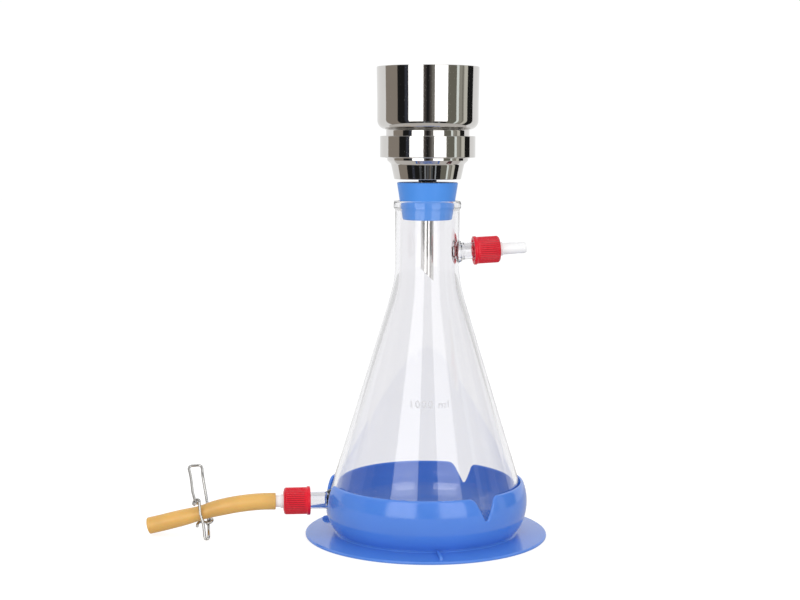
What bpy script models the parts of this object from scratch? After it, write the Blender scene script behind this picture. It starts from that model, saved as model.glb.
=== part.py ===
"""Vacuum filtration flask with a steel filter funnel, built from its separate pieces.

All sizes below are millimetres and are turned into metres when a mesh is made. The origin is the
centre of the stand's underside, +Z is up, and both side arms lie in the XZ plane: the vacuum arm
on +X near the neck, the drain arm on -X near the base.
"""

import math

import bmesh
import bpy
from mathutils import Matrix, Vector

MM = 0.001
GAP = 0.3  # clearance between neighbouring pieces
ROUND = 36  # facets round a wide turned piece
ROUND_SMALL = 18  # facets round an arm, cap, seal or stem

# Stand: a moulded bowl on a flat foot
FOOT_RADIUS = 82.9
FOOT_THICKNESS = 1.7
FOOT_HUB_RADIUS = 61.9
FOOT_HUB_Z = 3.4
BOWL_RADIUS = 69.4
BOWL_WIDEST_Z = 24.0
BOWL_FLOOR_RADIUS = 54.0
BOWL_FLOOR_Z = 3.2
BOWL_FULLNESS = 2.05  # exponent of the bowl's lower curve, 2 being an ellipse
BOWL_RIM_Z = 37.4
BOWL_RIM_RADIUS = 66.6
BOWL_WALL = 2.0
NOTCH_TURN = -2.0  # the notches sit this many degrees round from the arms
NOTCH_TIP_Z = 22.2
NOTCH_HALF_WIDTH = 8.6
NOTCH_SHOULDER = 6.4
ARM_NOTCH_BOTTOM_Z = 16.6
ARM_NOTCH_HALF_WIDTH = 15.5
RIB_ANGLES = (-90.0, 30.0, 150.0)
RIB_WIDTH = 2.0
RIB_TOP_Z = 4.4

# Flask: blown glass, a cone on a rounded base
BASE_RADIUS = 66.8
BASE_Z = BOWL_FLOOR_Z + GAP
BASE_CORNER = 20.9
CONE_ANGLE = math.radians(17.0)
CONE_TOP_Z = 160.0
NECK_RADIUS = 21.8
NECK_START_Z = 185.0
GLASS_WALL = 3.0
MOUTH_Z = 229.2
BEAD_RADIUS = 22.9
BEAD_HEIGHT = 5.5
MOUTH_BORE = 19.1

# Side arms: glass tubes with a round 14 mm thread, capped
UPPER_ARM_Z = 193.5  # where the upper arm's axis meets the flask's axis
UPPER_ARM_TILT = math.radians(3.2)
LOWER_ARM_Z = 24.4
UPPER_CAP_START = 31.6  # from the flask's axis to the cap's open end
LOWER_CAP_START = 79.8
UPPER_ARM_ROOT = 19.6
LOWER_ARM_ROOT = 63.6
ARM_RADIUS = 5.7
ARM_FLARE_RADIUS = 7.3
ARM_BORE = 4.0
ARM_CORE = 6.2
ARM_CREST = 7.0
ARM_RIM = 12.0  # the glass rim, from the cap's open end
ARM_PITCH = 2.5

# Screw cap, seal and hose connector, lengths from the cap's open end
CAP_LENGTH = 18.2
CAP_RADIUS = 9.15
CAP_LIP_RADIUS = 9.75
CAP_BORE = 7.35
CAP_CREST = 6.55
CAP_HOLE = 5.0
CAP_END_WALL = 1.9
SEAL_THICKNESS = 1.8
SEAL_RADIUS = 6.5
SEAL_BORE = 3.7
FLANGE_RADIUS = 6.9
SPIGOT_RADIUS = 3.35
SPIGOT_LENGTH = 5.5
NOZZLE_RADIUS = 4.0
NOZZLE_COLLAR_RADIUS = 4.65
NOZZLE_END = 36.6
NOZZLE_BORE = 2.3

# Drain hose and its wire clip
HOSE_RADIUS = 5.7
HOSE_START = 103.3
HOSE_SOCKET_RADIUS = NOZZLE_RADIUS + GAP
HOSE_SOCKET_LENGTH = LOWER_CAP_START + NOZZLE_END + GAP - HOSE_START
HOSE_PINCH = 0.86  # the clip narrows the hose to this part of its diameter
HOSE_PINCH_X = -154.0
HOSE_PINCH_SPREAD = 9.0
CLIP_WIRE = 0.95
CLIP_EYE = 2.25

# Stopper and outlet stem
STOPPER_TOP_Z = 241.6
STOPPER_BOTTOM_Z = 216.3
STOPPER_TOP_RADIUS = 20.7
STOPPER_BOTTOM_RADIUS = 16.7
STEM_RADIUS = 4.45
STEM_BORE = 3.5
STEM_TOP_Z = 250.4
STEM_TIP_Z = 174.6
WASHER_RADIUS = 6.15

# Filter funnel: base, lock ring and cup, turned steel
FUNNEL_BOTTOM_Z = 243.7
FUNNEL_TOP_Z = 318.8
SEAT_Z = 266.0  # top face of the funnel base
SEAT_RADIUS = 28.6
SEAT_CREST = 29.6
FRIT_RECESS_RADIUS = 24.6
FRIT_RECESS_Z = 262.0
FRIT_RADIUS = 22.4
FRIT_SEAL_RADIUS = 23.5
FRIT_SEAL_WIRE = 0.7
MEMBRANE_RADIUS = 25.0
MEMBRANE_THICKNESS = 0.4
GASKET_RADIUS = 28.2
GASKET_THICKNESS = 1.2
RING_RADIUS = 32.15
RING_BOTTOM_Z = 258.3
RING_TOP_Z = 272.7
RING_BORE = 30.2
RING_CREST = 29.2
RING_LIP_BORE = 28.5
RING_PITCH = 3.0
CUP_RADIUS = 34.1
CUP_WALL = 1.7
CUP_NECK_RADIUS = 28.1
CUP_FLANGE_RADIUS = 29.8
CUP_BORE = 23.5


def clear_scene():
    for old in list(bpy.data.objects):
        bpy.data.objects.remove(old, do_unlink=True)


def new_collection(name):
    collection = bpy.data.collections.new(name)
    bpy.context.scene.collection.children.link(collection)
    return collection


def material(name, colour, roughness, metallic=0.0, transmission=0.0):
    made = bpy.data.materials.new(name)
    made.use_nodes = True
    shader = made.node_tree.nodes["Principled BSDF"]
    shader.inputs["Base Color"].default_value = (*colour, 1.0)
    shader.inputs["Roughness"].default_value = roughness
    shader.inputs["Metallic"].default_value = metallic
    shader.inputs["Transmission Weight"].default_value = transmission
    made.diffuse_color = (*colour, 1.0)
    return made


# ---------------------------------------------------------------- outlines


def rounded(corners, steps=3):
    """Points of an open outline through (x, y) or (x, y, fillet radius) corners."""
    points = []
    for i, corner in enumerate(corners):
        here = Vector(corner[:2])
        fillet = corner[2] if len(corner) > 2 else 0.0
        if not fillet:
            points.append(here)
            continue
        before = (Vector(corners[i - 1][:2]) - here).normalized()
        after = (Vector(corners[i + 1][:2]) - here).normalized()
        half = before.angle(after) / 2
        centre = here + (before + after).normalized() * (fillet / math.sin(half))
        start = here + before * (fillet / math.tan(half)) - centre
        end = here + after * (fillet / math.tan(half)) - centre
        turn = start.angle_signed(end)
        for step in range(steps + 1):
            points.append(centre + Matrix.Rotation(-turn * step / steps, 2) @ start)
    return [tuple(point) for point in points]


def bowl_side(inset, floor_z):
    """The bowl's side from its rim down to its floor, `inset` inside its outer face."""
    drop = BOWL_RIM_Z - BOWL_WIDEST_Z
    lean_in = BOWL_RADIUS - BOWL_RIM_RADIUS
    arc = (drop**2 + lean_in**2) / (2 * lean_in)
    lean = math.asin(drop / arc)
    points = []
    for step in range(4):
        angle = lean * (1 - step / 4)
        across = BOWL_RADIUS - inset - arc * (1 - math.cos(angle))
        points.append((across, BOWL_WIDEST_Z + arc * math.sin(angle)))
    power = 2 / BOWL_FULLNESS
    for step in range(7):
        angle = math.pi / 2 * step / 7
        across = (BOWL_RADIUS - inset - BOWL_FLOOR_RADIUS) * math.cos(angle) ** power
        down = (BOWL_WIDEST_Z - floor_z) * math.sin(angle) ** power
        points.append((BOWL_FLOOR_RADIUS + across, BOWL_WIDEST_Z - down))
    return points


def flask_outline(inset, top, floor):
    """The glass from the neck down, `inset` inside its outer face: neck, flare, cone, base."""
    slope = math.tan(CONE_ANGLE)
    across = inset / math.cos(CONE_ANGLE)
    corner = BASE_CORNER - inset
    centre_z = BASE_Z + BASE_CORNER
    centre_r = BASE_RADIUS - BASE_CORNER
    cone_foot_r = centre_r + BASE_CORNER / math.cos(CONE_ANGLE)
    neck = NECK_RADIUS - inset
    cone_top_r = cone_foot_r - across - (CONE_TOP_Z - centre_z) * slope
    points = [(neck, top), (neck, NECK_START_Z)]
    for step in range(1, 5):
        along = step / 5
        bend_z = NECK_START_Z - (NECK_START_Z - CONE_TOP_Z) * along
        bend = (cone_top_r - neck) * along**2 * (1.35 - 0.35 * along)
        points.append((neck + bend, bend_z))
    points.append((cone_top_r, CONE_TOP_Z))
    for step in range(6):
        angle = CONE_ANGLE - (CONE_ANGLE + math.pi / 2) * step / 5
        points.append((centre_r + corner * math.cos(angle), centre_z + corner * math.sin(angle)))
    return points[:-1] + [(centre_r, floor), (0.0, floor)]


# ---------------------------------------------------------------- making objects


def place(obj, origin=(0, 0, 0), turn=None):
    """Puts an object's origin at a point in millimetres, turned by a rotation matrix."""
    matrix = Matrix.Translation(Vector(origin) * MM)
    obj.matrix_world = matrix @ turn.to_4x4() if turn else matrix
    return obj


def mesh_object(name, mesh, finish, collection):
    obj = bpy.data.objects.new(name, mesh)
    collection.objects.link(obj)
    if finish:
        mesh.materials.append(finish)
    return obj


def turned(name, outline, finish, collection, facets=ROUND, closed=True):
    """A lathe shape about Z. The outline is (radius, z), down the outer side and up the bore."""
    mesh = bpy.data.meshes.new(name)
    points = [(r * MM, 0.0, z * MM) for r, z in outline]
    edges = [(i, i + 1) for i in range(len(points) - 1)]
    if closed:
        edges.append((len(points) - 1, 0))
    mesh.from_pydata(points, edges, [])
    obj = mesh_object(name, mesh, finish, collection)
    screw = obj.modifiers.new("Turn", "SCREW")
    screw.axis = "Z"
    screw.steps = facets
    screw.render_steps = facets
    screw.use_merge_vertices = True
    screw.merge_threshold = 0.00001
    screw.use_smooth_shade = True
    return obj


def extruded(name, outline, near, far, collection):
    """A prism whose outline is (y, z) and which runs along X from near to far."""
    shape = bmesh.new()
    face = shape.faces.new([shape.verts.new((near * MM, y * MM, z * MM)) for y, z in outline])
    made = bmesh.ops.extrude_face_region(shape, geom=[face])
    moved = [item for item in made["geom"] if isinstance(item, bmesh.types.BMVert)]
    bmesh.ops.translate(shape, verts=moved, vec=((far - near) * MM, 0, 0))
    bmesh.ops.recalc_face_normals(shape, faces=shape.faces)
    mesh = bpy.data.meshes.new(name)
    shape.to_mesh(mesh)
    shape.free()
    return mesh_object(name, mesh, None, collection)


def helper(obj):
    """Keeps a cutter, or a shape that is only joined to another, out of the finished object."""
    obj.hide_render = True
    obj.display_type = "WIRE"
    return obj


def combine(obj, other, operation):
    boolean = obj.modifiers.new(operation.title(), "BOOLEAN")
    boolean.operation = operation
    boolean.object = helper(other)
    boolean.solver = "EXACT"
    return obj


def thread(name, core, crest, pitch, start_z, turns, collection, facets, phase=0.0):
    """A helical ridge from the core radius to the crest radius, lofted station by station."""
    shape = bmesh.new()
    stations = round(turns * facets)
    sunk = core - 0.4 if crest > core else core + 0.4
    rings = []
    for i in range(stations + 1):
        angle = 2 * math.pi * (i + 0.5) / facets + phase
        fade = min(1.0, 3.0 * i / facets + 0.12, 3.0 * (stations - i) / facets + 0.12)
        tip = core + (crest - core) * fade
        middle = start_z + pitch * (i + 0.5) / facets
        ring = []
        for radius, offset in ((sunk, -0.26), (tip, -0.14), (tip, 0.14), (sunk, 0.26)):
            spot = (radius * math.cos(angle), radius * math.sin(angle), middle + offset * pitch)
            ring.append(shape.verts.new(Vector(spot) * MM))
        rings.append(ring)
    for first, second in zip(rings, rings[1:]):
        for i in range(4):
            j = (i + 1) % 4
            shape.faces.new((first[i], first[j], second[j], second[i]))
    shape.faces.new(rings[0])
    shape.faces.new(rings[-1])
    bmesh.ops.recalc_face_normals(shape, faces=shape.faces)
    mesh = bpy.data.meshes.new(name)
    shape.to_mesh(mesh)
    shape.free()
    return mesh_object(name, mesh, None, collection)


def smooth_route(points, per_span=4):
    """Points along a smooth (Catmull-Rom) curve through the given ones."""
    route = [Vector(point) for point in points]
    route = [2 * route[0] - route[1]] + route + [2 * route[-1] - route[-2]]
    found = []
    for before, start, end, after in zip(route, route[1:], route[2:], route[3:]):
        for step in range(per_span):
            t = step / per_span
            bend = 2 * before - 5 * start + 4 * end - after
            twist = 3 * start - before - 3 * end + after
            found.append((2 * start + (end - before) * t + bend * t**2 + twist * t**3) / 2)
    return found + [route[-2]]


def tube(name, route, radius, finish, collection, resolution=2, scale=None):
    """A round bar along a route, as a mesh with its end caps welded on."""
    curve = bpy.data.curves.new(name, "CURVE")
    curve.dimensions = "3D"
    curve.bevel_depth = radius * MM
    curve.bevel_resolution = resolution
    curve.use_fill_caps = True
    spline = curve.splines.new("POLY")
    spline.points.add(len(route) - 1)
    for point, spot in zip(spline.points, route):
        point.co = (*(spot * MM), 1.0)
        point.radius = scale(spot) if scale else 1.0
    drawn = bpy.data.objects.new(name + "_line", curve)
    collection.objects.link(drawn)
    evaluated = drawn.evaluated_get(bpy.context.evaluated_depsgraph_get())
    mesh = bpy.data.meshes.new_from_object(evaluated)
    bpy.data.objects.remove(drawn, do_unlink=True)
    shape = bmesh.new()
    shape.from_mesh(mesh)
    bmesh.ops.remove_doubles(shape, verts=shape.verts, dist=0.000005)
    shape.to_mesh(mesh)
    shape.free()
    mesh.name = name
    return mesh_object(name, mesh, finish, collection)


# ---------------------------------------------------------------- stand and flask


def make_notch(cutters, degrees, arm):
    if arm:
        side = [(ARM_NOTCH_HALF_WIDTH, BOWL_RIM_Z, 3.0), (13.5, ARM_NOTCH_BOTTOM_Z + 9.0, 5.0)]
        tip = [(7.5, ARM_NOTCH_BOTTOM_Z, 4.0)]
    else:
        side = [(NOTCH_HALF_WIDTH, BOWL_RIM_Z, NOTCH_SHOULDER)]
        tip = [(0.9, NOTCH_TIP_Z)]
    right = rounded([(40.0, BOWL_RIM_Z + 0.01)] + side + tip + [(0.0, tip[0][1])], steps=4)[:-1]
    left = [(-y, z) for y, z in reversed(right)]
    outline = right + left + [(-40.0, BOWL_RIM_Z + 8), (40.0, BOWL_RIM_Z + 8)]
    cutter = extruded(f"notch_{round(degrees)}", outline, 45.0, 90.0, cutters)
    return place(cutter, turn=Matrix.Rotation(math.radians(degrees), 3, "Z"))


def make_stand(parts, cutters, finish):
    """The bowl and its foot are one turned shape; the ribs are joined on, the notches cut."""
    inside = bowl_side(BOWL_WALL, BOWL_FLOOR_Z) + [(BOWL_FLOOR_RADIUS, BOWL_FLOOR_Z)]
    outside = [point for point in bowl_side(0.0, 0.0) if point[1] > FOOT_HUB_Z]
    foot = [
        (FOOT_HUB_RADIUS, FOOT_HUB_Z),
        (FOOT_HUB_RADIUS + 1, FOOT_HUB_Z - 0.9),
        (FOOT_RADIUS - 0.5, FOOT_THICKNESS),
        (FOOT_RADIUS, FOOT_THICKNESS - 0.5),
        (FOOT_RADIUS, 0.0),
    ]
    outline = [(0.0, BOWL_FLOOR_Z)] + inside[::-1] + outside + foot + [(0.0, 0.0)]
    stand = turned("flask_stand", outline, finish, parts, closed=False)
    for angle in RIB_ANGLES:
        half = RIB_WIDTH / 2
        outline = [(-half, 1.0), (half, 1.0), (half, RIB_TOP_Z), (-half, RIB_TOP_Z)]
        rib = extruded(f"rib_{round(angle)}", outline, 53.0, FOOT_RADIUS - 3.5, cutters)
        combine(stand, place(rib, turn=Matrix.Rotation(math.radians(angle), 3, "Z")), "UNION")
    for step in range(3):
        notch = make_notch(cutters, 180.0 + NOTCH_TURN - 120.0 * step, arm=step == 0)
        combine(stand, notch, "DIFFERENCE")
    return stand


def arm_turn(tilt):
    """Turns +Z onto an arm's axis: tilt is the arm's angle above +X."""
    return Matrix.Rotation(math.pi / 2 - tilt, 3, "Y")


def make_arm(cutters, name, root, cap_start):
    """One glass arm about Z, solid, with its thread in a shape of its own."""
    rim = cap_start + ARM_RIM
    thread_start = cap_start + 2.6
    outline = [
        (0.0, rim),
        (ARM_CORE - 0.8, rim),
        (ARM_CORE, rim - 0.8),
        (ARM_CORE, cap_start + 1.6),
        (ARM_RADIUS, cap_start + 0.9),
        (ARM_RADIUS, root + 6.5),
        (ARM_RADIUS + 0.4, root + 4.6),
        (ARM_FLARE_RADIUS, root + 3.0),
        (ARM_FLARE_RADIUS, root),
        (0.0, root),
    ]
    arm = turned(name, outline, None, cutters, ROUND_SMALL, closed=False)
    ridge = thread(
        name + "_thread", ARM_CORE, ARM_CREST, ARM_PITCH, thread_start, 2.6, cutters, ROUND_SMALL
    )
    return arm, ridge


def make_flask(parts, cutters, finish):
    floor_z = BASE_Z + GLASS_WALL
    inner = flask_outline(GLASS_WALL, MOUTH_Z - BEAD_HEIGHT, floor_z)
    outer = flask_outline(0.0, MOUTH_Z - BEAD_HEIGHT - 1.5, BASE_Z)
    mouth = [
        (MOUTH_BORE, MOUTH_Z - 1.0),
        (MOUTH_BORE + 0.9, MOUTH_Z),
        (BEAD_RADIUS - 1.2, MOUTH_Z),
        (BEAD_RADIUS, MOUTH_Z - 1.3),
        (BEAD_RADIUS, MOUTH_Z - 3.8),
        (BEAD_RADIUS - 0.5, MOUTH_Z - 4.9),
    ]
    outline = list(reversed(inner)) + mouth + outer
    flask = turned("flask_body", outline, finish, parts, closed=False)
    arms = (
        ("upper_arm", (0, 0, UPPER_ARM_Z), UPPER_ARM_TILT, UPPER_ARM_ROOT, UPPER_CAP_START),
        ("lower_arm", (0, 0, LOWER_ARM_Z), math.pi, LOWER_ARM_ROOT, LOWER_CAP_START),
    )
    for name, origin, tilt, root, cap_start in arms:
        arm, ridge = make_arm(cutters, name, root, cap_start)
        bore_end = cap_start + ARM_RIM + 5
        bore_outline = [(0, bore_end), (ARM_BORE, bore_end), (ARM_BORE, root - 8), (0, root - 8)]
        bore = turned(name + "_bore", bore_outline, None, cutters, 16, closed=False)
        for obj, operation in ((arm, "UNION"), (ridge, "UNION"), (bore, "DIFFERENCE")):
            place(obj, origin, arm_turn(tilt))
            combine(flask, obj, operation)
    return flask


# ---------------------------------------------------------------- arm fittings


def make_cap(parts, cutters, name, finish, start, origin, tilt):
    end = start + CAP_LENGTH
    corners = [
        (CAP_HOLE, end),
        (CAP_RADIUS, end, 0.8),
        (CAP_RADIUS, start + 2.2),
        (CAP_LIP_RADIUS, start + 1.6),
        (CAP_LIP_RADIUS, start, 0.5),
        (CAP_BORE + 0.3, start),
        (CAP_BORE, start + 0.8),
        (CAP_BORE, end - CAP_END_WALL),
        (CAP_HOLE, end - CAP_END_WALL),
    ]
    outline = rounded(corners, steps=2)
    cap = turned(name, outline, finish, parts, ROUND_SMALL)
    ridge = thread(
        name + "_thread",
        CAP_BORE,
        CAP_CREST,
        ARM_PITCH,
        start + 2.6 + ARM_PITCH / 2,
        2.0,
        cutters,
        ROUND_SMALL,
    )
    for obj in (cap, ridge):
        place(obj, origin, arm_turn(tilt))
    return combine(cap, ridge, "UNION")


def make_fittings(parts, cutters, side, finishes, start, origin, tilt):
    """The screw cap of one arm, and the seal and hose connector that it holds to the glass."""
    make_cap(parts, cutters, side + "_screw_cap", finishes["cap"], start, origin, tilt)
    seal_low = start + ARM_RIM + GAP
    seal_high = seal_low + SEAL_THICKNESS
    seal_outline = [
        (SEAL_BORE, seal_high),
        (SEAL_RADIUS, seal_high),
        (SEAL_RADIUS, seal_low),
        (SEAL_BORE, seal_low),
    ]
    seal = turned(side + "_seal_ring", seal_outline, finishes["seal"], parts, ROUND_SMALL)
    flange_low = seal_high + GAP
    flange_high = start + CAP_LENGTH - CAP_END_WALL - GAP
    collar_end = start + CAP_LENGTH + 1.8
    end = start + NOZZLE_END
    outline = [
        (NOZZLE_BORE, end),
        (NOZZLE_RADIUS - 0.7, end),
        (NOZZLE_RADIUS, end - 1.2),
        (NOZZLE_RADIUS, collar_end + 0.5),
        (NOZZLE_COLLAR_RADIUS, collar_end),
        (NOZZLE_COLLAR_RADIUS, flange_high),
        (FLANGE_RADIUS, flange_high),
        (FLANGE_RADIUS, flange_low),
        (SPIGOT_RADIUS, flange_low),
        (SPIGOT_RADIUS, flange_low - SPIGOT_LENGTH),
        (NOZZLE_BORE, flange_low - SPIGOT_LENGTH),
    ]
    connector = turned(
        side + "_hose_connector", outline, finishes["connector"], parts, ROUND_SMALL
    )
    for obj in (seal, connector):
        place(obj, origin, arm_turn(tilt))


# ---------------------------------------------------------------- hose and clip

HOSE_ROUTE = (
    (-103.3, 0.0, 24.4),
    (-112.0, 0.2, 24.4),
    (-122.0, 0.9, 23.6),
    (-133.0, 2.1, 21.9),
    (-143.7, 3.7, 19.4),
    (-151.2, 5.0, 17.1),
    (-157.2, 6.3, 15.1),
    (-165.3, 8.0, 12.8),
    (-173.4, 9.8, 10.5),
    (-181.5, 11.6, 8.2),
    (-189.6, 13.4, 6.1),
)
CLIP_PIVOT_TOP = Vector((-157.0, -0.6, 25.0))
CLIP_PIVOT_FOOT = Vector((-148.3, 9.2, 9.2))
CLIP_AXIS = (CLIP_PIVOT_FOOT - CLIP_PIVOT_TOP).normalized()


def hose_scale(spot):
    """How wide the hose is at a point: the clip's jaws narrow it."""
    away = (spot.x - HOSE_PINCH_X) / HOSE_PINCH_SPREAD
    return 1.0 - (1.0 - HOSE_PINCH) * math.exp(-(away**2))


def make_hose(parts, cutters, finish):
    hose = tube(
        "drain_hose", smooth_route(HOSE_ROUTE, 2), HOSE_RADIUS, finish, parts, 3, hose_scale
    )
    socket_end = HOSE_START + HOSE_SOCKET_LENGTH
    outline = [
        (0, socket_end),
        (HOSE_SOCKET_RADIUS, socket_end),
        (HOSE_SOCKET_RADIUS, HOSE_START - 2),
        (0, HOSE_START - 2),
    ]
    socket = turned("hose_socket", outline, None, cutters, ROUND_SMALL, closed=False)
    place(socket, (0, 0, LOWER_ARM_Z), arm_turn(math.pi))
    return combine(hose, socket, "DIFFERENCE")


def eye(centre, start, sweep, rise=0.0):
    """Points round a coil about the clip's pivot line, with angles in degrees."""
    side = CLIP_AXIS.cross(Vector((0, 0, 1))).normalized()
    up = side.cross(CLIP_AXIS)
    steps = round(abs(sweep) / 29)
    found = []
    for step in range(steps + 1):
        angle = math.radians(start + sweep * step / steps)
        out = CLIP_EYE * (side * math.cos(angle) + up * math.sin(angle))
        found.append(centre + out + CLIP_AXIS * rise * (step / steps - 0.5))
    return found


def spring_wire_route():
    """From the upper eye down in front of the hose, round the foot, the lower eye, the jaw."""
    route = eye(CLIP_PIVOT_TOP, 277, -260)
    route += smooth_route([(-154.4, -3.2, 17.5), (-152.4, -5.2, 11.0), (-151.4, -8.6, 3.2)], 3)
    route += [Vector(spot) for spot in ((-151.0, -9.4, 1.7), (-149.4, -9.4, 1.6))]
    route += smooth_route([(-148.7, -8.4, 3.0), (-148.8, -3.0, 5.0), (-149.0, 4.4, 6.2)], 3)
    route += eye(CLIP_PIVOT_FOOT, 262, -372, rise=-2.4)
    route += smooth_route([(-152.6, 8.9, 9.1), (-155.3, 7.4, 9.1), (-156.6, 5.6, 8.2)], 2)
    route += [Vector((-156.8, 4.6, 6.4))]
    return route


def bail_route():
    """A pin through the upper eye, the long loop behind the hose, a pin through the lower eye."""
    route = [CLIP_PIVOT_TOP + CLIP_AXIS * along for along in (2.0, 0.0, -2.4)]
    route += smooth_route([(-159.6, 5.0, 30.8), (-161.0, 15.5, 38.8), (-162.4, 21.6, 43.4)], 2)
    route += [Vector(spot) for spot in ((-162.1, 22.6, 44.6), (-160.6, 23.0, 45.2))]
    route += [Vector(spot) for spot in ((-155.4, 23.2, 45.5), (-153.9, 22.8, 44.9))]
    route += smooth_route([(-153.3, 21.6, 43.4), (-152.8, 17.2, 38.8), (-150.6, 13.0, 26.0)], 3)
    route += [Vector((-149.4, 11.8, 17.0))]
    return route + [CLIP_PIVOT_FOOT + CLIP_AXIS * along for along in (-2.6, 0.0, 2.0)]


def make_clip(parts, finish):
    """Two bent wires: the spring wire round the hose, and the bail pivoted in its two eyes."""
    tube("clip_spring_wire", spring_wire_route(), CLIP_WIRE, finish, parts)
    bail = tube("clip_bail_wire", bail_route(), CLIP_WIRE, finish, parts)
    bail.data.transform(Matrix.Translation(-CLIP_PIVOT_TOP * MM))
    return place(bail, CLIP_PIVOT_TOP)


# ---------------------------------------------------------------- stopper and stem


def make_stopper(parts, finish):
    bore = STEM_RADIUS + GAP
    outline = rounded(
        [
            (bore, STOPPER_TOP_Z),
            (STOPPER_TOP_RADIUS, STOPPER_TOP_Z, 0.6),
            (STOPPER_BOTTOM_RADIUS, STOPPER_BOTTOM_Z, 0.6),
            (bore, STOPPER_BOTTOM_Z),
        ],
        steps=1,
    )
    return turned("rubber_stopper", outline, finish, parts)


def make_stem(parts, cutters, finish):
    outline = [
        (STEM_BORE, STEM_TOP_Z),
        (STEM_RADIUS, STEM_TOP_Z),
        (STEM_RADIUS, STEM_TIP_Z),
        (STEM_BORE, STEM_TIP_Z),
    ]
    stem = turned("outlet_stem", outline, finish, parts, ROUND_SMALL)
    wedge = [(-30, STEM_TIP_Z - 25.0), (30, STEM_TIP_Z - 25.0), (30, STEM_TIP_Z), (-30, STEM_TIP_Z)]
    bevel = extruded("stem_bevel", wedge, -60.0, 30.0, cutters)
    turn = Matrix.Rotation(math.radians(45), 3, "Y")
    pivot = Vector((STEM_RADIUS, 0, STEM_TIP_Z))
    place(bevel, pivot - turn @ Vector((0, 0, STEM_TIP_Z)), turn)
    return combine(stem, bevel, "DIFFERENCE")


def make_washer(parts, finish):
    """The washer round the stem, between the stopper's top and the funnel base."""
    bore = STEM_RADIUS + GAP
    low = STOPPER_TOP_Z + GAP
    high = FUNNEL_BOTTOM_Z - GAP
    outline = [(bore, high), (WASHER_RADIUS, high), (WASHER_RADIUS, low), (bore, low)]
    return turned("stem_washer", outline, finish, parts, ROUND_SMALL)


# ---------------------------------------------------------------- filter funnel


def make_base(parts, cutters, finish):
    bore = STEM_RADIUS + GAP
    outline = [
        (FRIT_RECESS_RADIUS, SEAT_Z),
        (SEAT_RADIUS, SEAT_Z),
        (SEAT_RADIUS, RING_BOTTOM_Z - 0.4),
        (27.3, RING_BOTTOM_Z - 0.5),
        (27.2, 256.4),
        (25.9, 254.9),
        (24.7, 253.6),
        (22.7, 244.3),
        (22.3, FUNNEL_BOTTOM_Z),
        (bore, FUNNEL_BOTTOM_Z),
        (bore, STEM_TOP_Z + 0.8),
        (20.5, FRIT_RECESS_Z - 1.5),
        (20.5, FRIT_RECESS_Z),
        (FRIT_RECESS_RADIUS, FRIT_RECESS_Z),
    ]
    base = turned("funnel_base", outline, finish, parts)
    start = RING_BOTTOM_Z + 0.8
    ridge = thread("base_thread", SEAT_RADIUS, SEAT_CREST, RING_PITCH, start, 1.7, cutters, ROUND)
    return combine(base, ridge, "UNION")


def make_filter_stack(parts, finishes):
    """What lies between base and cup: frit with its seal, membrane and flat gasket."""
    frit_low = FRIT_RECESS_Z + GAP
    frit_outline = [
        (0.0, SEAT_Z - 0.1),
        (FRIT_RADIUS - 0.4, SEAT_Z - 0.1),
        (FRIT_RADIUS, SEAT_Z - 0.5),
        (FRIT_RADIUS, frit_low),
        (0.0, frit_low),
    ]
    turned("support_frit", frit_outline, finishes["frit"], parts, closed=False)
    seal_z = FRIT_RECESS_Z + GAP + FRIT_SEAL_WIRE
    seal_outline = []
    for step in range(6):
        angle = math.pi / 2 - 2 * math.pi * step / 6
        across = FRIT_SEAL_RADIUS + FRIT_SEAL_WIRE * math.cos(angle)
        seal_outline.append((across, seal_z + FRIT_SEAL_WIRE * math.sin(angle)))
    turned("frit_seal_ring", seal_outline, finishes["seal"], parts)
    low = SEAT_Z + GAP
    high = low + MEMBRANE_THICKNESS
    membrane_outline = [(0.0, high), (MEMBRANE_RADIUS, high), (MEMBRANE_RADIUS, low), (0.0, low)]
    turned("membrane_filter", membrane_outline, finishes["membrane"], parts, closed=False)
    low = high + GAP
    high = low + GASKET_THICKNESS
    gasket_outline = [(CUP_BORE, high), (GASKET_RADIUS, high), (GASKET_RADIUS, low), (CUP_BORE, low)]
    turned("cup_gasket", gasket_outline, finishes["gasket"], parts)
    return high + GAP


def make_ring(parts, cutters, finish, flange_top):
    lip_z = flange_top + GAP
    outline = rounded(
        [
            (RING_LIP_BORE, RING_TOP_Z),
            (RING_RADIUS, RING_TOP_Z, 0.4),
            (RING_RADIUS, RING_BOTTOM_Z, 0.4),
            (RING_BORE, RING_BOTTOM_Z),
            (RING_BORE, lip_z),
            (RING_LIP_BORE, lip_z),
        ],
        steps=1,
    )
    ring = turned("lock_ring", outline, finish, parts)
    start = RING_BOTTOM_Z + 0.8 + RING_PITCH / 2
    ridge = thread("ring_thread", RING_BORE, RING_CREST, RING_PITCH, start, 1.7, cutters, ROUND)
    return combine(ring, ridge, "UNION")


def make_cup(parts, finish, flange_bottom, flange_top):
    inside = CUP_RADIUS - CUP_WALL
    outline = [
        (inside, FUNNEL_TOP_Z - 0.3),
        (inside + 0.5, FUNNEL_TOP_Z),
        (CUP_RADIUS + 0.45, FUNNEL_TOP_Z),
        (CUP_RADIUS, 294.0),
        (CUP_RADIUS, 284.1),
        (33.6, 281.7),
        (32.25, 279.65),
        (30.2, 278.2),
        (28.7, 277.1),
        (CUP_NECK_RADIUS, 275.9),
        (CUP_NECK_RADIUS, flange_top),
        (CUP_FLANGE_RADIUS, flange_top),
        (CUP_FLANGE_RADIUS, flange_bottom),
        (CUP_BORE, flange_bottom),
        (CUP_BORE, 275.4),
        (24.6, 277.6),
        (28.6, 279.4),
        (30.9, 281.2),
        (32.2, 284.4),
    ]
    return turned("funnel_cup", outline, finish, parts)


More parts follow.
